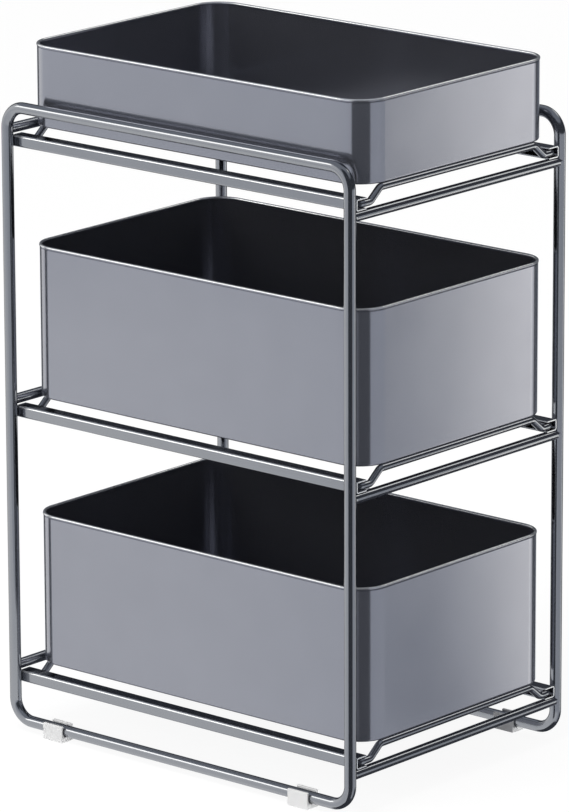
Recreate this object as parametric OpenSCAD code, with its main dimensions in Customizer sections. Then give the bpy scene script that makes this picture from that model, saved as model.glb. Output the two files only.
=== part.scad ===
// Three tier rack with pull out sheet steel baskets.
// Two bent side loops carry three pairs of inward facing C rails. Each basket stands on a
// welded wire carrier whose two side runners slide in one pair of rails.
// X is the width, -Y is the front that the baskets pull towards, Z = 0 is the floor.

/* [Side loops] */
// Width between the centres of the two side loops
frame_w = 216; // [180:1:320]
// Depth between the centres of the front and rear posts
frame_d = 300; // [240:1:420]
// Height between the centres of the bottom and top runs of a loop
frame_h = 429; // [370:1:560]
// Diameter of the round bar that the side loops are bent from
tube_d = 8; // [6:0.5:10]
// Centre line radius of the loop corners
loop_bend_r = 15; // [10:1:17]
// Diameter of the cross bars that join the loops
cross_d = 7; // [5:0.5:8]

/* [Tiers] */
// Height of the lowest rails' underside above the centre of a loop's bottom run
first_tier = 25.2; // [23:0.2:30]
// Height from the underside of the top rails to the centre of a loop's top run
last_tier = 28.6; // [24:0.2:34]
// Gap between the top of a rail and the rear cross bar above it
rear_bar_gap = 1; // [0.5:0.1:2]

/* [Rails] */
// Width of a rail flange
rail_w = 10; // [9:0.5:13]
// Sheet thickness of a rail
rail_t = 1; // [0.8:0.1:1.2]
// Outside bend radius of a rail
rail_bend_r = 1.5; // [1.3:0.1:2]
// Clearance above and below the runner in its rail
run_gap = 0.5; // [0.3:0.1:0.8]
// Sideways clearance between the runner and the rail's web
web_gap = 0.4; // [0.3:0.1:1]
// Distance that a rail's front end stands back from the front of the posts
rail_setback = 1.7; // [0:0.1:3]

/* [Carriers] */
// Diameter of the carrier wire
wire_d = 5; // [4:0.5:6]
// Distance from the edge of a rail flange in to the foot of the sloped wire
slope_gap = 5; // [4.5:0.1:7]
// Sideways run of the sloped wire that lifts the cross wire out of the rail
slope_run = 10; // [8:0.5:16]
// Centre line radius of the wire's bends
wire_bend_r = 5; // [4:0.5:6]
// Distance from the basket's front face back to the centre of the front cross wire
front_wire_inset = 1.5; // [1:0.1:6]
// Distance from the basket's rear face forward to the centre of the rear cross wire
rear_wire_inset = 3; // [2:0.1:8]

/* [Baskets] */
// Height of the two lower baskets
deep_h = 106; // [70:0.5:150]
// Height of the top basket
shallow_h = 56; // [30:0.5:120]
// Gap between a basket and a post at each side
side_gap = 7.2; // [5:0.1:12]
// Distance that the basket's face stands back from the front of the posts
face_setback = 1.7; // [0:0.1:6]
// Gap between the basket's rear face and the rear cross bar
rear_gap = 2.2; // [1.2:0.1:6]
// Height of the basket's underside above the top of the rail
basket_lift = 6.5; // [5.5:0.1:8]
// Outside radius of the upright corners
corner_r = 21; // [14:1:40]
// Outside radius between the walls and the base
base_edge_r = 1.5; // [1.2:0.1:4]
// Sheet thickness of the basket
sheet_t = 0.8; // [0.5:0.1:1.2]
// Diameter of the rolled rim
rim_d = 2.2; // [1.8:0.1:3]
// Distance that the rim stands out past the wall
rim_out = 0.4; // [0.2:0.1:0.6]

/* [Feet] */
// Length of a foot along the tube
foot_l = 17.5; // [12:0.5:26]
// Distance from the front posts' centre back to the middle of the front feet
front_foot_inset = 41; // [30:1:60]
// Distance from the rear posts' centre forward to the middle of the rear feet
rear_foot_inset = 39; // [30:1:60]
// Thickness of the plastic under the tube
foot_drop = 3.5; // [2:0.5:8]
// Thickness of the foot's cheeks beside the tube
foot_cheek = 1.8; // [0.8:0.1:2.5]
// Height of the cheeks above the top of the tube
foot_rise = 0.3; // [0:0.1:1]
// Clearance of the foot's cradle round the tube
foot_fit = 0.05; // [0.03:0.01:0.1]
// Amount by which each lip of the cradle closes over the tube
foot_snap = 0.3; // [0.1:0.1:0.6]

/* [Hidden] */
TIERS = ["bottom", "middle", "top"];
$fn = 64;

// Sides and ends as signs
LEFT = -1;
RIGHT = 1;
FRONT = -1;
REAR = 1;

loop_x = frame_w / 2;
post_y = frame_d / 2;
floor_run_z = foot_drop + tube_d / 2;
tier_pitch = (frame_h - first_tier - last_tier) / (len(TIERS) - 1);
rail_h = wire_d + 2 * run_gap + 2 * rail_t;
rail_x = loop_x - tube_d / 2;
rail_front_y = -post_y - tube_d / 2 + rail_setback;
rail_rear_y = post_y;
rail_inner_r = rail_bend_r - rail_t;

runner_x = rail_x - rail_t - web_gap - wire_d / 2;
slope_foot_x = rail_x - rail_w - slope_gap;
slope_head_x = slope_foot_x - slope_run;
// A sloped bend is a touch thicker than its wire, and the straight wire laps into it
bend_swell = 0.04;
bend_lap = 0.2;

basket_w = frame_w - tube_d - 2 * side_gap;
basket_front_y = -post_y - tube_d / 2 + face_setback;
basket_rear_y = post_y - cross_d / 2 - rear_gap;
basket_l = basket_rear_y - basket_front_y;
basket_mid_y = (basket_front_y + basket_rear_y) / 2;
front_wire_y = basket_front_y + front_wire_inset;
rear_wire_y = basket_rear_y - rear_wire_inset;

function tier_z(tier) = floor_run_z + first_tier + tier * tier_pitch;
function runner_z(tier) = tier_z(tier) + rail_h / 2;
function basket_z(tier) = tier_z(tier) + rail_h + basket_lift;
function basket_h(tier) = tier == len(TIERS) - 1 ? shallow_h : deep_h;

// A cylinder along X from one x to another
module bar_x(d, x0, x1) {
    translate([x0, 0, 0])
        rotate([0, 90, 0])
            cylinder(d = d, h = x1 - x0);
}

// A cylinder along Y from one y to another
module bar_y(d, y0, y1) {
    translate([0, y1, 0])
        rotate([90, 0, 0])
            cylinder(d = d, h = y1 - y0);
}

// A flat rectangle about the origin with four round corners
module round_rect(w, h, r) {
    square([w, h - 2 * r], center = true);
    square([w - 2 * r, h], center = true);
    for (x = [-1, 1], y = [-1, 1])
        translate([x * (w / 2 - r), y * (h / 2 - r)])
            circle(r = r);
}

// One closed loop of round bar, standing in the YZ plane
module side_loop(side) {
    straight_y = post_y - loop_bend_r;
    straight_z = frame_h / 2 - loop_bend_r;
    color("#6c7076")
    translate([side * loop_x, 0, floor_run_z + frame_h / 2]) {
        for (end = [FRONT, REAR])
            translate([0, end * post_y, -straight_z])
                cylinder(d = tube_d, h = 2 * straight_z);
        for (level = [-1, 1])
            translate([0, 0, level * frame_h / 2])
                bar_y(tube_d, -straight_y, straight_y);
        for (quarter = [0 : 3]) {
            y = (quarter == 0 || quarter == 3) ? straight_y : -straight_y;
            z = quarter < 2 ? straight_z : -straight_z;
            translate([0, y, z])
                rotate([0, 90, 0])
                    rotate([0, 0, 90 + quarter * 90])
                        rotate_extrude(angle = 90)
                            translate([loop_bend_r, 0])
                                circle(d = tube_d);
        }
    }
}

// A bent sheet C rail that opens towards the middle of the rack
module rail(tier, side) {
    color("#63676d")
    translate([side * rail_x, rail_rear_y, tier_z(tier) + rail_h / 2])
        mirror([side > 0 ? 1 : 0, 0, 0])
            rotate([90, 0, 0])
                linear_extrude(rail_rear_y - rail_front_y)
                    rail_profile();
}

module rail_profile() {
    intersection() {
        translate([0, -rail_h / 2])
            square([rail_w, rail_h]);
        translate([rail_w, 0])
            difference() {
                round_rect(2 * rail_w, rail_h, rail_bend_r);
                round_rect(2 * (rail_w - rail_t), rail_h - 2 * rail_t, rail_inner_r);
            }
    }
}

// A cross bar between the loops, with its ends coped to them
module cross_bar(y, z) {
    color("#5d6167")
    difference() {
        translate([0, y, z])
            bar_x(cross_d, -loop_x, loop_x);
        side_loop(LEFT);
        side_loop(RIGHT);
    }
}

// The front bar lies under the rails, the rear bar just over them
module front_bar(tier) {
    cross_bar(-post_y, tier_z(tier) - cross_d / 2);
}

module rear_bar(tier) {
    cross_bar(post_y, tier_z(tier) + rail_h + rear_bar_gap + cross_d / 2);
}

// A plastic foot that clips up onto the bottom run of a loop
module foot(side, end) {
    inset = end == FRONT ? front_foot_inset : rear_foot_inset;
    foot_w = tube_d + 2 * (foot_fit + foot_cheek);
    foot_h = floor_run_z + tube_d / 2 + foot_rise;
    mouth_w = tube_d - 2 * foot_snap;
    color("#eef0f1")
    translate([side * loop_x, end * (post_y - inset), 0])
        difference() {
            translate([-foot_w / 2, -foot_l / 2, 0])
                cube([foot_w, foot_l, foot_h]);
            translate([0, 0, floor_run_z])
                bar_y(tube_d + 2 * foot_fit, -foot_l, foot_l);
            translate([-mouth_w / 2, -foot_l, floor_run_z])
                cube([mouth_w, 2 * foot_l, foot_h]);
        }
}

// A rod that slides in a rail, with both ends bent in towards the middle
module runner(tier, side) {
    front_y = front_wire_y + wire_bend_r;
    rear_y = rear_wire_y - wire_bend_r;
    color("#6a6e74")
    translate([side * runner_x, 0, runner_z(tier)])
        mirror([side > 0 ? 1 : 0, 0, 0]) {
            bar_y(wire_d, front_y, rear_y);
            translate([wire_bend_r, front_y, 0])
                wire_bend(180, 90);
            translate([wire_bend_r, rear_y, 0])
                wire_bend(90, 90);
        }
}

// A wire that rises from the two runners and crosses under the basket
module cross_wire(tier, y) {
    rise = basket_z(tier) - wire_d / 2 - runner_z(tier);
    slope = atan(rise / slope_run);
    setback = wire_bend_r * tan(slope / 2);
    slope_l = sqrt(rise * rise + slope_run * slope_run);
    top_x = slope_head_x - setback;
    foot_x = slope_foot_x + setback;
    color("#6a6e74")
    translate([0, y, runner_z(tier)]) {
        translate([0, 0, rise])
            bar_x(wire_d, -top_x - bend_lap, top_x + bend_lap);
        for (side = [LEFT, RIGHT])
            mirror([side > 0 ? 1 : 0, 0, 0]) {
                bar_x(wire_d, wire_bend_r - runner_x, bend_lap - foot_x);
                translate([-foot_x, 0, wire_bend_r])
                    rotate([90, 0, 0])
                        wire_bend(270, slope, bend_swell);
                translate([-slope_foot_x, 0, 0])
                    rotate([0, -slope, 0])
                        bar_x(wire_d, setback - bend_lap, slope_l - setback + bend_lap);
                translate([-top_x, 0, rise - wire_bend_r])
                    rotate([90, 0, 0])
                        wire_bend(90, slope, bend_swell);
            }
    }
}

// A bend about the Z axis that starts at an angle, turns by a sweep and swells by a little
module wire_bend(start, sweep, swell = 0) {
    rotate([0, 0, start])
        rotate_extrude(angle = sweep)
            translate([wire_bend_r, 0])
                circle(d = wire_d + swell);
}

// Half section of the basket's wall, base edge and rim, measured out from a corner's axis
module wall_profile(h) {
    translate([corner_r - sheet_t, base_edge_r])
        square([sheet_t, h - base_edge_r - rim_d / 2]);
    square([corner_r - base_edge_r, sheet_t]);
    translate([corner_r - base_edge_r, base_edge_r])
        intersection() {
            difference() {
                circle(r = base_edge_r);
                circle(r = base_edge_r - sheet_t);
            }
            translate([0, -base_edge_r])
                square([base_edge_r, base_edge_r]);
        }
    translate([corner_r + rim_out - rim_d / 2, h - rim_d / 2])
        circle(d = rim_d);
}

// An open box of thin sheet, swept round its corners and along its sides
module basket(tier) {
    h = basket_h(tier);
    half_w = basket_w / 2 - corner_r;
    half_l = basket_l / 2 - corner_r;
    color("#777b82")
    translate([0, basket_mid_y, basket_z(tier)]) {
        translate([-half_w, -half_l, 0])
            cube([2 * half_w, 2 * half_l, sheet_t]);
        for (turn = [0 : 3]) {
            along_x = turn % 2 == 1;
            reach = along_x ? half_l : half_w;
            run = along_x ? half_w : half_l;
            rotate([0, 0, turn * 90]) {
                translate([reach, run, 0])
                    rotate_extrude(angle = 90)
                        wall_profile(h);
                translate([reach, run, 0])
                    rotate([90, 0, 0])
                        linear_extrude(2 * run)
                            wall_profile(h);
            }
        }
    }
}

for (side = [LEFT, RIGHT]) {
    hand = side == LEFT ? "left" : "right";
    side_loop(side);
    foot(side, FRONT);
    foot(side, REAR);
    for (tier = [0 : len(TIERS) - 1]) {
        rail(tier, side);
        runner(tier, side);
    }
}
for (tier = [0 : len(TIERS) - 1]) {
    front_bar(tier);
    rear_bar(tier);
    cross_wire(tier, front_wire_y);
    cross_wire(tier, rear_wire_y);
    basket(tier);
}
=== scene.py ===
# %% [markdown]
# # Dressing a three tier pull out basket rack
#
# The imported model gives every piece of the rack at its real place. This script gives
# those pieces the surfaces that a close photograph shows: bent bar with a satin
# gunmetal finish, rolled rims on thin sheet baskets, folded rails and moulded plastic
# feet. We load the frame first and keep the box of each node, which places the dressed
# pieces.

# %% Load the frame
import math

import bmesh
import bpy
from mathutils import Matrix, Vector


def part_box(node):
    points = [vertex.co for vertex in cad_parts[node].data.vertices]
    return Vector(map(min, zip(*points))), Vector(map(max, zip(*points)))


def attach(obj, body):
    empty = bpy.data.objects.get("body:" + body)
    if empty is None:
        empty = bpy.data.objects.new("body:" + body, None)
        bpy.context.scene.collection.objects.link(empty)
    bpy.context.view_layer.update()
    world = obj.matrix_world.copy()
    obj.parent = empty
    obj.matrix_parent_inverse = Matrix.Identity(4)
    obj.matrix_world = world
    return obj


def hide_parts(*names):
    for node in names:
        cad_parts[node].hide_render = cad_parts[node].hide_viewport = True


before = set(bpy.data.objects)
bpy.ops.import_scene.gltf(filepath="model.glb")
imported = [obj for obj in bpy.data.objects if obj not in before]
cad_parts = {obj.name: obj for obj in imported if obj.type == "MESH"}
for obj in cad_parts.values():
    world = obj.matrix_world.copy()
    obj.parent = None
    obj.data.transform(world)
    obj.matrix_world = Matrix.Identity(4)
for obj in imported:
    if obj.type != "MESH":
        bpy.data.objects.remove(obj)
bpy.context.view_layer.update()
MM = 0.001

# %% [markdown]
# ## The camera
#
# The photograph was taken from the front left with a long lens, a little above the
# rack. A camera is easiest to place by its angle round the object, its height angle and
# its distance from a target point. The small roll keeps the posts as upright as in the
# photo.

# %% Camera
CAMERA_AZIMUTH = math.radians(-49.155)
CAMERA_ELEVATION = math.radians(14.944)
CAMERA_ROLL = math.radians(0.209)
CAMERA_DISTANCE = 4.2041
CAMERA_TARGET = Vector((0.0004, -0.0005, 0.2322))
FOCAL_PIXELS = 6236.4
PHOTO_HEIGHT = 812
SENSOR = 36.0
CLIP_END = 50

scene = bpy.context.scene
view_line = Vector((
    -math.sin(CAMERA_AZIMUTH) * math.cos(CAMERA_ELEVATION),
    math.cos(CAMERA_AZIMUTH) * math.cos(CAMERA_ELEVATION),
    -math.sin(CAMERA_ELEVATION),
))
camera = bpy.data.objects.new("camera", bpy.data.cameras.new("camera"))
scene.collection.objects.link(camera)
level_view = view_line.to_track_quat("-Z", "Y").to_matrix()
rolled_view = Matrix.Rotation(CAMERA_ROLL, 3, view_line) @ level_view
stand = CAMERA_TARGET - CAMERA_DISTANCE * view_line
camera.matrix_world = Matrix.Translation(stand) @ rolled_view.to_4x4()
camera.data.sensor_width = SENSOR
camera.data.lens = SENSOR * FOCAL_PIXELS / PHOTO_HEIGHT
camera.data.clip_end = CLIP_END
scene.camera = camera
print("camera at", tuple(round(v, 3) for v in camera.location),
      "right", tuple(round(v, 4) for v in rolled_view.col[0]))

# %% [markdown]
# ## Measures taken from the frame
#
# Nothing is placed by eye. Each measure comes from the box of a node, so a piece made
# here lies where the solid lies that it stands for.

# %% Measures
TIERS = ("bottom", "middle", "top")
SIDES = {"left": -1, "right": 1}
RIGHT_WAY = Vector((1, 0, 0))
BACK_WAY = Vector((0, 1, 0))
UP_WAY = Vector((0, 0, 1))

loop_low, loop_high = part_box("side_loop_right")
TUBE_R = (loop_high.x - loop_low.x) / 2
LOOP_X = (loop_high.x + loop_low.x) / 2
POST_Y = loop_high.y - TUBE_R
RUN_LOW_Z = loop_low.z + TUBE_R
RUN_HIGH_Z = loop_high.z - TUBE_R
print("side loop: tube", round(2 * TUBE_R / MM, 2), "mm,",
      "posts at y", round(POST_Y / MM, 1))

# %% [markdown]
# ## From bmesh to piece
#
# A bmesh becomes an object in one place: doubles are merged, faces are turned outwards,
# every face is smooth, and only edges sharper than a limit stay crisp. Weighted normals
# let the large flat faces rule the shading, so that a flat wall mirrors like a flat
# wall right up to its rounded edge. Each new piece then rides on its body and hides the
# nodes it stands for. Two numbers tell a coated face from one that takes the paler
# finish, which on the metal is edge wear with a painted highlight.

# %% Piece from a bmesh
MERGE = 0.002 * MM
CRISP = math.radians(35)
FLAT_FACE_WEIGHT = 80
COATED = 0
# The paler finish: on the metal it is edge wear with a painted highlight, on the feet
# the paler moulded edge.
PALER_FINISH = 1


def make_piece(name, bm, body, nodes):
    bmesh.ops.remove_doubles(bm, verts=bm.verts, dist=MERGE)
    bmesh.ops.recalc_face_normals(bm, faces=bm.faces)
    for face in bm.faces:
        face.smooth = True
    for edge in bm.edges:
        edge.smooth = len(edge.link_faces) != 2 or edge.calc_face_angle(0) < CRISP
    open_edges = sum(len(edge.link_faces) != 2 for edge in bm.edges)
    mesh = bpy.data.meshes.new(name)
    bm.to_mesh(mesh)
    bm.free()
    piece = bpy.data.objects.new(name, mesh)
    scene.collection.objects.link(piece)
    even = piece.modifiers.new("even_shading", "WEIGHTED_NORMAL")
    even.keep_sharp = True
    even.weight = FLAT_FACE_WEIGHT
    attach(piece, body)
    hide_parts(*nodes)
    print(name, len(mesh.polygons), "faces,", open_edges, "open edges")
    return piece


# %% [markdown]
# ## Sweeping a section along a path
#
# Bar and wire are bent on a bench: straight, bend, straight, bend. The same order works
# in bmesh. The end ring is pushed along each straight with an extrude, and turned round
# the centre of each bend with spin. A short stretch is left at both ends of each
# straight, so that smooth shading turns only there and a reflection in the long run
# stays straight.

# %% Push and turn a ring
SHORT = 0.4 * MM


def push(bm, edges, move):
    made = bmesh.ops.extrude_edge_only(bm, edges=edges)["geom"]
    moved = [item for item in made if isinstance(item, bmesh.types.BMVert)]
    bmesh.ops.translate(bm, verts=moved, vec=move)
    return [item for item in made if isinstance(item, bmesh.types.BMEdge)
            and all(vert in moved for vert in item.verts)]


def straight(bm, edges, move):
    if move.length <= 3 * SHORT:
        return push(bm, edges, move)
    step = move.normalized() * SHORT
    edges = push(bm, edges, step)
    edges = push(bm, edges, move - 2 * step)
    return push(bm, edges, step)


def turn(bm, edges, centre, axis, angle, steps):
    points = list({vert for edge in edges for vert in edge.verts})
    made = bmesh.ops.spin(bm, geom=points + edges, cent=centre, axis=axis,
                          angle=angle, steps=steps, use_merge=False)["geom_last"]
    return [item for item in made if isinstance(item, bmesh.types.BMEdge)]


def ring(bm, centre, direction, radius, sides):
    place = direction.to_track_quat("Z", "X").to_matrix().to_4x4()
    place.translation = centre
    made = bmesh.ops.create_circle(bm, segments=sides, radius=radius, matrix=place)
    return list({edge for vert in made["verts"] for edge in vert.link_edges})


# %% [markdown]
# ## A bar through corner points
#
# A bent bar is known by the points where its straight lengths would cross and by the
# radius of each bend. At each corner the bend starts a little before the point: the
# setback is the radius times the tangent of half the turn.

# %% Bar through corners
BEND_STEP = math.radians(4.5)
FEWEST_STEPS = 4


def bar_through(bm, points, radius, bend_r, sides):
    edges = ring(bm, points[0], points[1] - points[0], radius, sides)
    at = points[0]
    for here, after in zip(points[1:], points[2:]):
        before = (here - at).normalized()
        next_way = (after - here).normalized()
        angle = before.angle(next_way)
        axis = before.cross(next_way).normalized()
        setback = bend_r * math.tan(angle / 2)
        start = here - before * setback
        edges = straight(bm, edges, start - at)
        centre = start + axis.cross(before) * bend_r
        steps = max(FEWEST_STEPS, round(angle / BEND_STEP))
        edges = turn(bm, edges, centre, axis, angle, steps)
        at = here + next_way * setback
    return straight(bm, edges, points[-1] - at)


# %% [markdown]
# ## Side loops
#
# Each side of the rack is one length of 8 mm bar bent into a closed loop with four
# round corners. It starts in the middle of the bottom run and goes round: run, post,
# top run, post, and back to the start, where the last ring merges with the first.

# %% Side loops
LOOP_BEND_R = 15 * MM
LOOP_SIDES = 48


def side_loop(x):
    bm = bmesh.new()
    corners = [Vector((x, y, z)) for y, z in (
        (0, RUN_LOW_Z), (POST_Y, RUN_LOW_Z), (POST_Y, RUN_HIGH_Z),
        (-POST_Y, RUN_HIGH_Z), (-POST_Y, RUN_LOW_Z), (0, RUN_LOW_Z))]
    bar_through(bm, corners, TUBE_R, LOOP_BEND_R, LOOP_SIDES)
    return bm


frame_pieces = []
for side, way in SIDES.items():
    node = "side_loop_" + side
    frame_pieces.append(
        make_piece(node + "_bar", side_loop(way * LOOP_X), "rack", [node]))

# %% [markdown]
# ## Cross bars
#
# Six straight bars join the two loops. Each end is coped, which means that it is cut to
# the round of the post, and a thin fillet of weld fills the joint. We make half a bar:
# its ring is pushed outwards and grows along the weld, the last ring is moved onto the
# post's surface, point by point, and the half is mirrored.

# %% Cross bars
BAR_SIDES = 48
WELD_R = 0.35 * MM
WELD_L = 0.9 * MM
FIRST_REACH = 20 * MM
BLEND_L = 0.8 * MM
HALF_WELD = 0.5
HALF_WELD_GROWTH = 0.3
WIDEST_SADDLE = 0.995


def cross_bar(node):
    low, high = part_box(node)
    radius = (high.z - low.z) / 2
    y = (low.y + high.y) / 2
    post_y = math.copysign(POST_Y, y)
    bm = bmesh.new()
    middle = Vector((0, y, (low.z + high.z) / 2))
    edges = ring(bm, middle, RIGHT_WAY, radius, BAR_SIDES)
    saddle = LOOP_X - math.sqrt(TUBE_R ** 2 - radius ** 2)
    rings = ((FIRST_REACH, 0), (saddle - WELD_L - BLEND_L, 0), (saddle - WELD_L, 0),
             (saddle - HALF_WELD * WELD_L, HALF_WELD_GROWTH), (saddle, 1))
    for reach, grow in rings:
        x = max(vert.co.x for edge in edges for vert in edge.verts)
        edges = push(bm, edges, RIGHT_WAY * (reach - x))
        verts = list({vert for edge in edges for vert in edge.verts})
        at = middle + RIGHT_WAY * reach
        growth = 1 + grow * WELD_R / radius
        bmesh.ops.scale(bm, verts=verts, vec=(1, growth, growth),
                        space=Matrix.Translation(-at))
    for vert in verts:
        off = min(abs(vert.co.y - post_y), TUBE_R * WIDEST_SADDLE)
        vert.co.x = LOOP_X - math.sqrt(TUBE_R ** 2 - off ** 2)
    bmesh.ops.triangle_fill(bm, edges=edges, use_beauty=True)
    bmesh.ops.mirror(bm, geom=bm.verts[:] + bm.edges[:] + bm.faces[:],
                     axis="X", merge_dist=MERGE)
    return bm


for tier in TIERS:
    for end in ("front", "rear"):
        node = end + "_bar_" + tier
        frame_pieces.append(make_piece(
            node + "_welded", cross_bar(node), "rack", [node]))

# %% [markdown]
# ## Rails
#
# A rail is a strip of 1 mm sheet folded twice into a channel that opens to the inside.
# The strip's outer face is drawn as a line of four points and drawn out along the rail.
# The two folds are rounded with a bevel, the sheet gets its thickness with solidify,
# and every cut edge is broken a little. Cut ends, upper folds and broken edges take a
# paler metal. Part of it is edge wear and part of it is a painted highlight, which
# gives the bright lines on them.

# %% Rails
RAIL_T = 1.0 * MM
FOLD_R = 1.5 * MM
FOLD_STEPS = 8
RAIL_EDGE = 0.2 * MM
EDGE_STEPS = 3
ROUND = 0.5
END_FACING = 0.9
FOLD_FACING = 0.2


def rail(node):
    low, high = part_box(node)
    outer = high.x if high.x > 0 else low.x
    inner = low.x if high.x > 0 else high.x
    bm = bmesh.new()
    strip = [bm.verts.new((x, low.y, z)) for x, z in (
        (inner, low.z), (outer, low.z), (outer, high.z), (inner, high.z))]
    edges = [bm.edges.new(pair) for pair in zip(strip, strip[1:])]
    straight(bm, edges, BACK_WAY * (high.y - low.y))
    folds = [edge for edge in bm.edges if len(edge.link_faces) == 2
             and edge.calc_face_angle(0) > CRISP]
    bmesh.ops.bevel(bm, geom=folds, offset=FOLD_R, segments=FOLD_STEPS, profile=ROUND,
                    affect="EDGES", material=-1)
    bmesh.ops.recalc_face_normals(bm, faces=bm.faces)
    web = max(bm.faces, key=lambda face: (
        abs(face.calc_center_median().x) * face.calc_area()))
    if web.normal.x * outer < 0:
        bmesh.ops.reverse_faces(bm, faces=bm.faces)
    bmesh.ops.solidify(bm, geom=bm.faces[:], thickness=RAIL_T)
    # Cut ends and the folds that face up take the paler metal: edge wear with a painted
    # highlight, the bright lines along the rail.
    for face in bm.faces:
        on_end = abs(face.normal.y) > END_FACING
        on_fold = min(abs(face.normal.x), face.normal.z) > FOLD_FACING
        face.material_index = PALER_FINISH if on_end or on_fold else COATED
    # Every broken cut edge takes the paler metal too: edge wear with a painted
    # highlight.
    cut = [edge for edge in bm.edges if edge.calc_face_angle(0) > CRISP]
    bmesh.ops.bevel(bm, geom=cut, offset=RAIL_EDGE, segments=EDGE_STEPS, profile=ROUND,
                    affect="EDGES", material=PALER_FINISH)
    return bm


for tier in TIERS:
    for side in SIDES:
        node = "rail_" + tier + "_" + side
        frame_pieces.append(make_piece(
            node + "_folded", rail(node), "rack", [node]))

# %% [markdown]
# ## Feet
#
# The rack stands on four pale plastic clips that are pushed onto the bottom runs. The
# real piece is moulded, so every edge is soft. Its outline is drawn once round: the
# cradle is an arc spun from one lip to the other, the outside is three straight lines.
# The outline is filled, drawn out along the bar, and all sharp edges are rounded.

# %% Feet
CRADLE_R = TUBE_R + 0.35 * MM
MOUTH_HALF = TUBE_R - 0.3 * MM
CRADLE_STEPS = 32
FOOT_EDGE = 0.7 * MM
FOOT_EDGE_STEPS = 4


def foot(node):
    low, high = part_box(node)
    x = (low.x + high.x) / 2
    bm = bmesh.new()
    lip_z = RUN_LOW_Z + math.sqrt(CRADLE_R ** 2 - MOUTH_HALF ** 2)
    lip = bm.verts.new((x + MOUTH_HALF, low.y, lip_z))
    lip_angle = math.atan2(lip_z - RUN_LOW_Z, MOUTH_HALF)
    centre = Vector((x, low.y, RUN_LOW_Z))
    made = bmesh.ops.spin(bm, geom=[lip], cent=centre, axis=BACK_WAY,
                          angle=math.pi + 2 * lip_angle, steps=CRADLE_STEPS,
                          use_merge=False)["geom_last"]
    far_lip = [item for item in made if isinstance(item, bmesh.types.BMVert)][0]
    outline = [bm.verts.new((px, low.y, pz)) for px, pz in (
        (x - MOUTH_HALF, high.z), (low.x, high.z), (low.x, low.z),
        (high.x, low.z), (high.x, high.z), (x + MOUTH_HALF, high.z))]
    chain = [far_lip] + outline + [lip]
    for pair in zip(chain, chain[1:]):
        bm.edges.new(pair)
    face = bmesh.ops.contextual_create(bm, geom=bm.edges[:])["faces"]
    made = bmesh.ops.extrude_face_region(bm, geom=face)["geom"]
    moved = [item for item in made if isinstance(item, bmesh.types.BMVert)]
    bmesh.ops.translate(bm, verts=moved, vec=BACK_WAY * (high.y - low.y))
    bmesh.ops.recalc_face_normals(bm, faces=bm.faces)
    sharp = [edge for edge in bm.edges if edge.calc_face_angle(0) > CRISP]
    bmesh.ops.bevel(bm, geom=sharp, offset=FOOT_EDGE, segments=FOOT_EDGE_STEPS,
                    profile=ROUND, affect="EDGES", material=PALER_FINISH, clamp_overlap=True)
    return bm


foot_pieces = []
for end in ("front", "rear"):
    for side in SIDES:
        node = "foot_" + end + "_" + side
        foot_pieces.append(make_piece(
            node + "_clip", foot(node), "rack", [node]))
print("foot cradle", round(2 * CRADLE_R / MM, 2), "mm across")

# %% [markdown]
# ## Carriers
#
# Under each basket lies one closed ring of 5 mm wire. Its long sides slide in the
# rails. At the front and the rear it turns in, rises on a slope and crosses under the
# basket, which is welded to it. Half of the ring is bent through its corner points,
# then mirrored.

# %% Carriers
WIRE_BEND_R = 5 * MM
WIRE_SIDES = 32
SLOPE_FOOT_X = 89 * MM
SLOPE_HEAD_X = 79 * MM


def carrier(tier):
    run_low, run_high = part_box("runner_" + tier + "_right")
    radius = (run_high.z - run_low.z) / 2
    run_x = run_high.x - radius
    run_z = run_low.z + radius
    corners = []
    for node, order in (("carrier_front_" + tier, 1), ("carrier_rear_" + tier, -1)):
        low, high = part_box(node)
        y = (low.y + high.y) / 2
        head_z = high.z - radius
        way = [Vector((0, y, head_z)), Vector((SLOPE_HEAD_X, y, head_z)),
               Vector((SLOPE_FOOT_X, y, run_z)), Vector((run_x, y, run_z))]
        corners += way[::order]
    bm = bmesh.new()
    bar_through(bm, corners, radius, WIRE_BEND_R, WIRE_SIDES)
    bmesh.ops.mirror(bm, geom=bm.verts[:] + bm.edges[:] + bm.faces[:],
                     axis="X", merge_dist=MERGE)
    return bm


carrier_pieces = []
for tier in TIERS:
    nodes = ["runner_" + tier + "_left", "runner_" + tier + "_right",
             "carrier_front_" + tier, "carrier_rear_" + tier]
    carrier_pieces.append(make_piece("carrier_ring_" + tier, carrier(tier),
                                     tier + "_drawer", nodes))

# %% [markdown]
# ## Baskets
#
# A basket is deep drawn or folded from thin sheet: upright walls, wide round corners, a
# small radius at the base and a rim rolled into a bead. One section of the wall is
# enough. It is drawn from the base up the inside, round the bead, whose curl ends in a
# small step, and down the outside. Then it is turned round each corner and pushed along
# each side. The two flat bases are filled at the end.

# %% Basket section
CORNER_R = 21 * MM
BASE_R = 1.5 * MM
SHEET_T = 0.8 * MM
RIM_R = 1.1 * MM
RIM_OUT = 0.4 * MM
CURL_END = math.radians(-75)
CURL_STEP = 0.35 * MM
BASE_LAP = 6 * MM
BASE_STEPS = 8
BEAD_STEPS = 26


def arc_on(bm, vert, centre, angle, steps):
    made = bmesh.ops.spin(bm, geom=[vert], cent=centre, axis=BACK_WAY,
                          angle=angle, steps=steps, use_merge=False)["geom_last"]
    return [item for item in made if isinstance(item, bmesh.types.BMVert)][0]


def line_on(bm, vert, points):
    for point in points:
        after = bm.verts.new(point)
        bm.edges.new((vert, after))
        vert = after
    return vert


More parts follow.
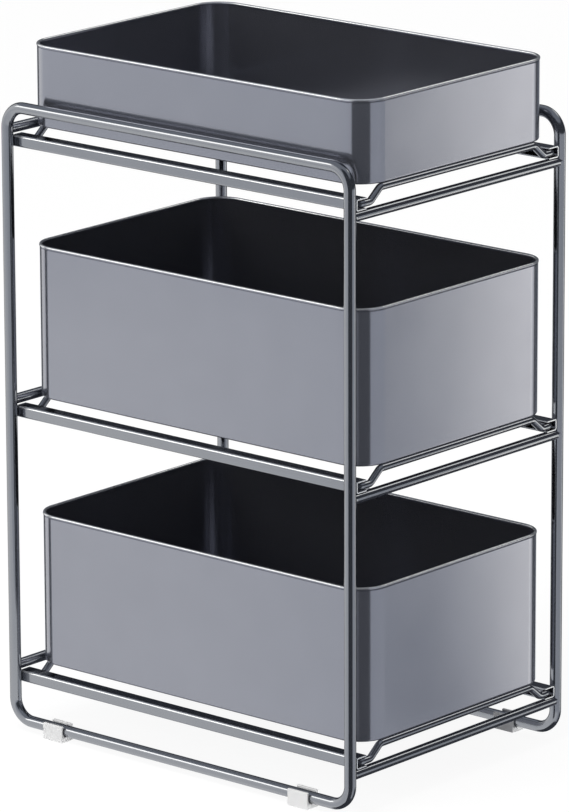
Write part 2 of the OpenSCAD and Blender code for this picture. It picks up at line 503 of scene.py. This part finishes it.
def wall_section(bm, x, y, low_z, high_z):
    base_x = x - BASE_R
    start = bm.verts.new((base_x - BASE_LAP, y, low_z + SHEET_T))
    vert = line_on(bm, start, [(base_x - SHORT, y, low_z + SHEET_T),
                               (base_x, y, low_z + SHEET_T)])
    vert = arc_on(bm, vert, (base_x, y, low_z + BASE_R), -math.pi / 2, BASE_STEPS)
    rim_x = x + RIM_OUT - RIM_R
    rim_z = high_z - RIM_R
    in_off = x - SHEET_T - rim_x
    in_z = rim_z - math.sqrt(RIM_R ** 2 - in_off ** 2)
    out_z = rim_z + RIM_R * math.sin(CURL_END) - CURL_STEP
    vert = line_on(bm, vert, [(x - SHEET_T, y, low_z + BASE_R + SHORT),
                              (x - SHEET_T, y, in_z - SHORT), (x - SHEET_T, y, in_z)])
    start_angle = math.atan2(in_z - rim_z, in_off)
    sweep = (CURL_END - start_angle) % (2 * math.pi)
    vert = arc_on(bm, vert, (rim_x, y, rim_z), 2 * math.pi - sweep, BEAD_STEPS)
    vert = line_on(bm, vert, [(x, y, out_z), (x, y, out_z - SHORT),
                              (x, y, low_z + BASE_R + SHORT), (x, y, low_z + BASE_R)])
    vert = arc_on(bm, vert, (base_x, y, low_z + BASE_R), math.pi / 2, BASE_STEPS)
    line_on(bm, vert, [(base_x - SHORT, y, low_z), (base_x - BASE_LAP, y, low_z)])
    return bm.edges[:]


# %% [markdown]
# The section is placed at the middle of the right side and goes round the basket once.

# %% Baskets
CORNER_STEPS = 24


def basket(node):
    low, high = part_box(node)
    wall_x = high.x - RIM_OUT
    front_y = low.y + RIM_OUT
    back_y = high.y - RIM_OUT
    middle_y = (front_y + back_y) / 2
    half_y = (back_y - front_y) / 2 - CORNER_R
    width = 2 * (wall_x - CORNER_R)
    bm = bmesh.new()
    edges = wall_section(bm, wall_x, middle_y, low.z, high.z)
    heading = BACK_WAY
    edges = straight(bm, edges, heading * half_y)
    at = Vector((wall_x, middle_y + half_y, 0))
    for length in (width, 2 * half_y, width, half_y):
        centre = at + UP_WAY.cross(heading) * CORNER_R
        edges = turn(bm, edges, centre, UP_WAY, math.pi / 2, CORNER_STEPS)
        at = centre + heading * CORNER_R
        heading = UP_WAY.cross(heading)
        edges = straight(bm, edges, heading * length)
        at = at + heading * length
    bmesh.ops.remove_doubles(bm, verts=bm.verts, dist=MERGE)
    open_edges = [edge for edge in bm.edges if len(edge.link_faces) == 1]
    bmesh.ops.holes_fill(bm, edges=open_edges, sides=0)
    # The upper half of the rim bead takes the paler metal: edge wear with a painted
    # highlight, the bright line along the rim.
    for face in bm.faces:
        on_rim = face.calc_center_median().z > high.z - RIM_R
        face.material_index = PALER_FINISH if on_rim else COATED
    return bm


basket_pieces = []
for tier in TIERS:
    node = "basket_" + tier
    basket_pieces.append(make_piece(
        node + "_drawn", basket(node), tier + "_drawer", [node]))

# %% [markdown]
# ## The gunmetal finish
#
# The metal is coated with a satin gunmetal finish: it mirrors its surroundings softly,
# and its colour is a cool dark grey. A metallic shader gives that. One noise makes the
# colour drift slightly from place to place, one varies the gloss in broad clouds, and
# one drives a very fine bump, which is the grain of the coat. Rims, upper folds and cut
# edges get a much paler metal. Part of it is the thinner coat of edges that rub against
# hands and runners, and part of it is a painted highlight that draws their bright
# lines. There the finish is brighter and more uneven.

# %% Gunmetal material
BAR_METAL = (0.341, 0.352, 0.377)
SHEET_METAL = (0.343, 0.352, 0.398)
# Much paler metal for rims, upper folds and cut edges: edge wear with a painted
# highlight.
WORN_AND_HIGHLIGHT_METAL = (0.74, 0.75, 0.77)
# The sockets of a mix node that mixes colours.
MIX_FIRST = 6
MIX_SECOND = 7
MIX_RESULT = 2
# Each noise is given by its scale and its detail, and it mostly stays within this span.
NOISE_SPAN = (0.3, 0.7)
METAL_DRIFT = (35, 4)
METAL_CLOUD = (22, 3)
METAL_GRAIN = (2600, 2)
METAL_GRAIN_DEPTH = 0.02 * MM
GLOSS_CLOUD = 0.015


def link(tree, source, target):
    tree.links.new(source, target)


def math_node(tree, operation, first, second):
    made = tree.nodes.new("ShaderNodeMath")
    made.operation = operation
    for socket, value in zip(made.inputs, (first, second)):
        if isinstance(value, (int, float)):
            socket.default_value = value
        else:
            link(tree, value, socket)
    return made.outputs[0]


def spread(tree, value, start, end, low=0.0, high=1.0):
    made = tree.nodes.new("ShaderNodeMapRange")
    made.inputs["From Min"].default_value = start
    made.inputs["From Max"].default_value = end
    made.inputs["To Min"].default_value = low
    made.inputs["To Max"].default_value = high
    link(tree, value, made.inputs["Value"])
    return made.outputs["Result"]


def noise(tree, place, scale, detail):
    made = tree.nodes.new("ShaderNodeTexNoise")
    made.inputs["Scale"].default_value = scale
    made.inputs["Detail"].default_value = detail
    link(tree, place, made.inputs["Vector"])
    return made.outputs["Fac"]


def surface(name, colour, drift, drift_noise, gloss, gloss_noise, grain, grain_noise):
    material = bpy.data.materials.new(name)
    material.use_nodes = True
    tree = material.node_tree
    shader = tree.nodes["Principled BSDF"]
    place = tree.nodes.new("ShaderNodeTexCoord").outputs["Object"]
    mix = tree.nodes.new("ShaderNodeMix")
    mix.data_type = "RGBA"
    for number, share in zip((MIX_FIRST, MIX_SECOND), drift):
        mix.inputs[number].default_value = [channel * share for channel in colour] + [1]
    link(tree, noise(tree, place, *drift_noise), mix.inputs[0])
    link(tree, mix.outputs[MIX_RESULT], shader.inputs["Base Color"])
    cloud = spread(tree, noise(tree, place, *gloss_noise), *NOISE_SPAN, *gloss)
    link(tree, cloud, shader.inputs["Roughness"])
    bump = tree.nodes.new("ShaderNodeBump")
    strength, distance = grain
    bump.inputs["Strength"].default_value = strength
    bump.inputs["Distance"].default_value = distance
    link(tree, noise(tree, place, *grain_noise), bump.inputs["Height"])
    link(tree, bump.outputs["Normal"], shader.inputs["Normal"])
    return material, shader


def coated_metal(name, colour, metallic, rough, drift, grain):
    material, shader = surface(
        name, colour, (1 - drift, 1 + drift), METAL_DRIFT,
        (rough - GLOSS_CLOUD, rough + GLOSS_CLOUD), METAL_CLOUD,
        (grain, METAL_GRAIN_DEPTH), METAL_GRAIN)
    shader.inputs["Metallic"].default_value = metallic
    print(name, "rough", rough)
    return material


gunmetal_bar = coated_metal("gunmetal_bar", BAR_METAL, metallic=0.99, rough=0.13,
                            drift=0.04, grain=0.25)
gunmetal_sheet = coated_metal("gunmetal_sheet", SHEET_METAL, metallic=0.91, rough=0.15,
                              drift=0.04, grain=0.25)
worn_edge_and_painted_highlight = coated_metal("worn_edge_and_painted_highlight", WORN_AND_HIGHLIGHT_METAL, metallic=0.85, rough=0.22,
                           drift=0.12, grain=0.3)
for piece in frame_pieces + carrier_pieces:
    piece.data.materials.append(gunmetal_bar)
for piece in basket_pieces:
    piece.data.materials.append(gunmetal_sheet)
# Rims, upper folds and cut edges get the paler metal: edge wear with a painted
# highlight.
for piece in frame_pieces + basket_pieces:
    if any(face.material_index == PALER_FINISH for face in piece.data.polygons):
        piece.data.materials.append(worn_edge_and_painted_highlight)

# %% [markdown]
# ## The pale plastic
#
# The feet are moulded in a near white plastic with a soft sheen. A fine spark texture
# from the mould breaks up the highlight, and the colour shifts very slightly. The
# rounded edges are a little paler and smoother.

# %% Foot plastic
PLASTIC = (0.78, 0.78, 0.78)
PLASTIC_EDGE = (0.83, 0.83, 0.83)
PLASTIC_SHIFT = (0.97, 1.02)
PLASTIC_DRIFT = (120, 3)
PLASTIC_CLOUD = (300, 3)
PLASTIC_SPARK = (2200, 2)
SPARK_STRENGTH = 0.3
SPARK_DEPTH = 0.03 * MM


def moulded_plastic(name, colour, smooth, coarse):
    return surface(name, colour, PLASTIC_SHIFT, PLASTIC_DRIFT, (smooth, coarse),
                   PLASTIC_CLOUD, (SPARK_STRENGTH, SPARK_DEPTH), PLASTIC_SPARK)[0]


foot_plastic = moulded_plastic("foot_plastic", PLASTIC, smooth=0.42, coarse=0.52)
foot_edge = moulded_plastic("foot_edge", PLASTIC_EDGE, smooth=0.28, coarse=0.40)
for piece in foot_pieces:
    piece.data.materials.append(foot_plastic)
    piece.data.materials.append(foot_edge)
print("feet:", len(foot_pieces))

# %% [markdown]
# ## Floor and white surround
#
# The floor and the world are white to the camera. The floor keeps a faint shadow: most
# of what the camera sees of it is its own white, the rest is lit, so that a shadow can
# darken it. The metal doesn't mirror the floor, so that the cards laid below it in a
# later step are seen. Diffuse rays meet a world of the plain level that lights the
# feet.

# %% Floor and world
FLOOR_HALF = 7
FLOOR_COLOUR = (0.95, 0.95, 0.95, 1)
FLOOR_OWN_WHITE = 0.86
FLOOR_GLOW = 1.06
WHITE = (1, 1, 1, 1)
ROOM_LIGHT = 0.5


def seen_directly(tree):
    path = tree.nodes.new("ShaderNodeLightPath").outputs
    seen = math_node(tree, "MAXIMUM", path["Is Camera Ray"], path["Is Glossy Ray"])
    return math_node(tree, "MAXIMUM", seen, path["Is Transmission Ray"])


floor_mesh = bpy.data.meshes.new("floor")
floor_shape = bmesh.new()
bmesh.ops.create_grid(floor_shape, x_segments=1, y_segments=1, size=FLOOR_HALF)
floor_shape.to_mesh(floor_mesh)
floor_shape.free()
floor = bpy.data.objects.new("floor", floor_mesh)
scene.collection.objects.link(floor)
floor.visible_glossy = False
floor_white = bpy.data.materials.new("floor_white")
floor_white.use_nodes = True
tree = floor_white.node_tree
tree.nodes.clear()
lit = tree.nodes.new("ShaderNodeBsdfDiffuse")
lit.inputs["Color"].default_value = FLOOR_COLOUR
own = tree.nodes.new("ShaderNodeEmission")
own.inputs["Color"].default_value = WHITE
own.inputs["Strength"].default_value = FLOOR_GLOW
share = math_node(tree, "MULTIPLY", seen_directly(tree), FLOOR_OWN_WHITE)
blend = tree.nodes.new("ShaderNodeMixShader")
link(tree, share, blend.inputs[0])
link(tree, lit.outputs[0], blend.inputs[1])
link(tree, own.outputs[0], blend.inputs[2])
output = tree.nodes.new("ShaderNodeOutputMaterial")
link(tree, blend.outputs[0], output.inputs["Surface"])
floor_mesh.materials.append(floor_white)

world = bpy.data.worlds.new("room")
scene.world = world
world.use_nodes = True
tree = world.node_tree
background = tree.nodes["Background"]
background.inputs["Color"].default_value = WHITE
level = spread(tree, seen_directly(tree), 0.0, 1.0, ROOM_LIGHT, 1.0)
link(tree, level, background.inputs["Strength"])
print("room light", ROOM_LIGHT)

# %% [markdown]
# ## The studio that the metal mirrors
#
# Polished things are lit by what stands round them. Metal photographed on white is
# ringed with pale and dark cards: pale ones fill the broad faces, dark ones draw the
# edges. Here the ring is one wide drum that only mirrors see. Three ramps give its
# brightness by compass angle, which runs from the right over the back: one for the part
# below eye level, one above it and one near the ground. A fourth fills the back right
# for a first mirror only, so that a mirror seen in a mirror, as in the gaps between
# pieces, stays dark. Each ramp holds a share of the brightest tone. Dark tones are
# tinted cool, and bright ones are near white.

# %% Drum tones
DRUM_R = 6.0
DRUM_LOW = -9.0
DRUM_HIGH = 8.0
DRUM_SIDES = 128
LID_SIDES = 64
EYE_LEVEL = 0.25
GROUND_EDGE = (-0.52, -0.40)
EYE_EDGE = (-0.05, 0.03)
SKY_EDGE = (0.62, 0.85)
FIRST_MIRROR = 1.5
DARK = 0.07
SKY_TONE = 0.34
RAMP_TOP = 2.5
WARMEST = 1.2
RED_AT_DARK = 0.90
RED_GAIN = 0.10
BLUE_AT_DARK = 1.20
BLUE_LOSS = 0.21
LOW_TONES = (
    (0, DARK), (79, DARK), (86, 1.05), (98, 1.05), (110, 0.93), (150, 0.84),
    (172, 0.70), (193, 0.65), (232, 0.56), (255, 0.55), (305, 0.58), (318, 0.62),
    (330, 1.0), (336, 1.0), (340, DARK), (360, DARK),
)
FILL_TONES = (
    (0, 0.2), (14, 0.2), (24, 0.68), (58, 0.68), (66, DARK), (350, DARK), (360, 0.2),
)
HIGH_TONES = (
    (0, DARK), (76, DARK), (86, 1.0), (150, 0.90), (172, 0.70), (193, 0.5),
    (215, DARK), (360, DARK),
)
GROUND_TONES = (
    (0, DARK), (42, DARK), (58, 0.85), (110, 0.95), (250, 0.8), (295, 0.5),
    (318, 0.16), (326, DARK), (360, DARK),
)


def tinted(tone, top):
    warmth = min(tone, WARMEST)
    red = tone * (RED_AT_DARK + RED_GAIN * warmth)
    blue = tone * (BLUE_AT_DARK - BLUE_LOSS * warmth)
    return [red / top, tone / top, blue / top, 1]


def tone_ramp(tree, share, tones):
    ramp = tree.nodes.new("ShaderNodeValToRGB")
    stops = ramp.color_ramp.elements
    while len(stops) < len(tones):
        stops.new(0.5)
    for number, (degrees, _) in enumerate(tones):
        stops[number].position = degrees / 360
    for stop, (_, tone) in zip(stops, tones):
        stop.color = tinted(tone, RAMP_TOP)
    link(tree, share, ramp.inputs["Fac"])
    return ramp.outputs["Color"]


def step(tree, value, start, end):
    made = spread(tree, value, start, end)
    made.node.interpolation_type = "SMOOTHSTEP"
    return made


def mixed(tree, factor, first, second):
    mix = tree.nodes.new("ShaderNodeMix")
    mix.data_type = "RGBA"
    link(tree, factor, mix.inputs[0])
    link(tree, first, mix.inputs[MIX_FIRST])
    if isinstance(second, (int, float)):
        mix.inputs[MIX_SECOND].default_value = tinted(second, RAMP_TOP)
    else:
        link(tree, second, mix.inputs[MIX_SECOND])
    return mix.outputs[MIX_RESULT]


def glow_material(name):
    material = bpy.data.materials.new(name)
    material.use_nodes = True
    tree = material.node_tree
    tree.nodes.clear()
    glow = tree.nodes.new("ShaderNodeEmission")
    output = tree.nodes.new("ShaderNodeOutputMaterial")
    link(tree, glow.outputs[0], output.inputs["Surface"])
    return material, tree, glow


# %% [markdown]
# The compass angle comes from the arc tangent of a point's y and x, and the height
# angle from its height over the drum's radius. Both read the drum's own coordinates.

# %% Drum
def drum_glow():
    material, tree, glow = glow_material("drum_tones")
    parts = tree.nodes.new("ShaderNodeSeparateXYZ")
    link(tree, tree.nodes.new("ShaderNodeTexCoord").outputs["Object"], parts.inputs[0])
    angle = math_node(tree, "ARCTAN2", parts.outputs["Y"], parts.outputs["X"])
    share = math_node(tree, "FRACT", math_node(
        tree, "ADD", math_node(tree, "DIVIDE", angle, 2 * math.pi), 1.0), 0.0)
    rise = math_node(tree, "DIVIDE", math_node(
        tree, "SUBTRACT", parts.outputs["Z"], EYE_LEVEL), DRUM_R)
    depth = tree.nodes.new("ShaderNodeLightPath").outputs["Glossy Depth"]
    low = mixed(tree, math_node(tree, "LESS_THAN", depth, FIRST_MIRROR),
                tone_ramp(tree, share, LOW_TONES), tone_ramp(tree, share, FILL_TONES))
    low.node.blend_type = "LIGHTEN"
    tone = mixed(tree, step(tree, rise, *GROUND_EDGE),
                 tone_ramp(tree, share, GROUND_TONES), low)
    tone = mixed(tree, step(tree, rise, *EYE_EDGE), tone,
                 tone_ramp(tree, share, HIGH_TONES))
    tone = mixed(tree, step(tree, rise, *SKY_EDGE), tone, SKY_TONE)
    link(tree, tone, glow.inputs["Color"])
    glow.inputs["Strength"].default_value = RAMP_TOP
    return material


def plain_glow(name, tone):
    material, _, glow = glow_material(name)
    glow.inputs["Color"].default_value = tinted(tone, tone)
    glow.inputs["Strength"].default_value = tone
    return material


def mirror_only(name, bm, material):
    mesh = bpy.data.meshes.new(name)
    bm.to_mesh(mesh)
    bm.free()
    mesh.materials.append(material)
    card = bpy.data.objects.new(name, mesh)
    scene.collection.objects.link(card)
    card.visible_camera = False
    card.visible_diffuse = False
    card.visible_transmission = False
    card.visible_shadow = False


drum = bmesh.new()
bmesh.ops.create_cone(drum, cap_ends=False, segments=DRUM_SIDES, radius1=DRUM_R,
                      radius2=DRUM_R, depth=DRUM_HIGH - DRUM_LOW,
                      matrix=Matrix.Translation((0, 0, (DRUM_HIGH + DRUM_LOW) / 2)))
mirror_only("studio_drum", drum, drum_glow())
for name, height, tone in (("studio_lid", DRUM_HIGH, SKY_TONE),
                           ("studio_base", DRUM_LOW, DARK)):
    cap = bmesh.new()
    bmesh.ops.create_circle(cap, cap_ends=True, segments=LID_SIDES, radius=DRUM_R,
                            matrix=Matrix.Translation((0, 0, height)))
    mirror_only(name, cap, plain_glow(name + "_tone", tone))
print("drum", DRUM_R, "m")

# %% [markdown]
# ## Pale cards on the ground
#
# The front faces of the baskets grow brighter from left to right, and the left faces
# fade a little towards the front. A card that lies on the ground beside the rack does
# that, because each part of a wall mirrors another strip of it. The tone runs across
# the card, and a higher wall, which mirrors the card further out, meets a second row of
# tones there. Tones are given by how far across the card they lie, in millimetres from
# the middle of the rack.

# %% Ground cards
ACROSS = Vector((0.654, 0.7565, 0))
STRIP_HALF = 0.36
CARD_REACH = 5.5


def strip_glow(name, near_tones, far_tones, change_start, change_end):
    material, tree, glow = glow_material(name)
    place = tree.nodes.new("ShaderNodeTexCoord").outputs["Object"]
    across = tree.nodes.new("ShaderNodeVectorMath")
    across.operation = "DOT_PRODUCT"
    across.inputs[1].default_value = ACROSS
    link(tree, place, across.inputs[0])
    share = spread(tree, across.outputs["Value"], -STRIP_HALF, STRIP_HALF)
    far = tree.nodes.new("ShaderNodeVectorMath")
    far.operation = "LENGTH"
    link(tree, place, far.inputs[0])
    change = spread(tree, far.outputs["Value"], change_start, change_end)
    tone = mixed(tree, change, tone_ramp(tree, share, near_tones),
                 tone_ramp(tree, share, far_tones))
    link(tree, tone, glow.inputs["Color"])
    glow.inputs["Strength"].default_value = RAMP_TOP
    return material


def ground_card(name, left, left_way, right, right_way, start, height, material):
    card = bmesh.new()
    corners = [left + start * left_way, left + CARD_REACH * left_way,
               right + CARD_REACH * right_way, right + start * right_way]
    card.faces.new([card.verts.new((point.x, point.y, height)) for point in corners])
    mirror_only(name, card, material)


def compass(degrees):
    angle = math.radians(degrees)
    return Vector((math.cos(angle), math.sin(angle), 0))


def strips(*rows):
    return [((offset * MM + STRIP_HALF) / (2 * STRIP_HALF) * 360, tone)
            for offset, tone in rows]


FRONT_NEAR = strips((-340, 0.58), (-180, 0.58), (-150, 0.48), (-120, 0.37), (-90, 0.52),
                    (-60, 0.94), (-30, 1.42), (0, 1.68), (300, 1.68))
FRONT_FAR = strips((-355, 0.54), (-180, 0.50), (-150, 0.30), (-120, 0.16), (-90, 0.22),
                   (-60, 0.66), (-30, 1.30), (0, 1.74), (300, 1.80))
SIDE_NEAR = strips((-170, 0.82), (-80, 0.90), (30, 0.94), (300, 0.96))
SIDE_FAR = strips((-170, 0.71), (-80, 0.77), (30, 0.81), (300, 0.83))
ground_card("front_card",
            left=Vector((-0.08, -0.17, 0)), left_way=compass(298),
            right=Vector((0.10, -0.16, 0)), right_way=compass(328),
            start=0.55, height=-0.15,
            material=strip_glow("front_card_tones", FRONT_NEAR, FRONT_FAR,
                                change_start=1.6, change_end=2.4))
ground_card("side_card",
            left=Vector((-0.12, 0.15, 0)), left_way=compass(112),
            right=Vector((-0.12, -0.15, 0)), right_way=compass(166),
            start=0, height=-0.001,
            material=strip_glow("side_card_tones", SIDE_NEAR, SIDE_FAR,
                                change_start=1.3, change_end=1.65))
print("ground cards laid")

# %% [markdown]
# ## Dark flag and soft boxes
#
# A narrow dark flag stands close to the front left corner. It is what draws the dark
# band down the round corner of each basket and the front post. Two bright soft boxes
# hang high up: the one at the back left gives the white lines on the side runs, the one
# on the right those on the front bars and rims. Three lamps of a plain level, which no
# mirror shows, light the feet and the insides of the baskets: one from the left, a low
# one from the front and one from high on the left.

# %% Flag and soft boxes
FLAG_BEARING = 226
FLAG_DISTANCE = 0.12
FLAG_WIDTH = 0.178
FLAG_HEIGHT = 0.9
BOX_DISTANCE = 5.6
LAMP_DISTANCE = 2.6
LAMP_WIDTH = 1.4


def facing(centre, target):
    place = (target - centre).to_track_quat("-Z", "Y").to_matrix().to_4x4()
    place.translation = centre
    return place


def from_middle(azimuth, elevation, distance):
    azimuth, elevation = math.radians(azimuth), math.radians(elevation)
    level = math.cos(elevation) * distance
    return Vector((math.cos(azimuth) * level, math.sin(azimuth) * level,
                   EYE_LEVEL + math.sin(elevation) * distance))


def card_towards(name, centre, target, width, height, tone):
    card = bmesh.new()
    place = facing(centre, target) @ Matrix.Diagonal((width, height, 1, 1))
    bmesh.ops.create_grid(card, x_segments=1, y_segments=1, size=0.5, matrix=place)
    mirror_only(name, card, plain_glow(name + "_tone", tone))


middle = Vector((0, 0, EYE_LEVEL))
corner = Vector((-0.100, -0.145, EYE_LEVEL))
flag_at = corner + FLAG_DISTANCE * compass(FLAG_BEARING)
card_towards("dark_flag", flag_at, corner, FLAG_WIDTH, FLAG_HEIGHT, DARK)
card_towards("side_box", from_middle(azimuth=132, elevation=27, distance=BOX_DISTANCE),
             middle, width=2.4, height=1.4, tone=3.2)
card_towards("front_box", from_middle(azimuth=353, elevation=42, distance=BOX_DISTANCE),
             middle, width=2.6, height=1.2, tone=1.7)


def soft_lamp(name, azimuth, elevation, height, energy):
    lamp = bpy.data.lights.new(name, "AREA")
    lamp.shape = "RECTANGLE"
    lamp.size = LAMP_WIDTH
    lamp.size_y = height
    lamp.energy = energy
    lamp_object = bpy.data.objects.new(name, lamp)
    scene.collection.objects.link(lamp_object)
    place = from_middle(azimuth, elevation, LAMP_DISTANCE)
    lamp_object.matrix_world = facing(place, middle)
    lamp_object.visible_glossy = False


soft_lamp("side_lamp", azimuth=172, elevation=20, height=1.0, energy=20)
soft_lamp("floor_lamp", azimuth=290, elevation=-4, height=0.2, energy=34)
soft_lamp("top_lamp", azimuth=180, elevation=66, height=1.0, energy=22)

# %% [markdown]
# ## The view transform
#
# The colours are shown through the standard view transform.

# %% Finish
scene.view_settings.view_transform = "Standard"
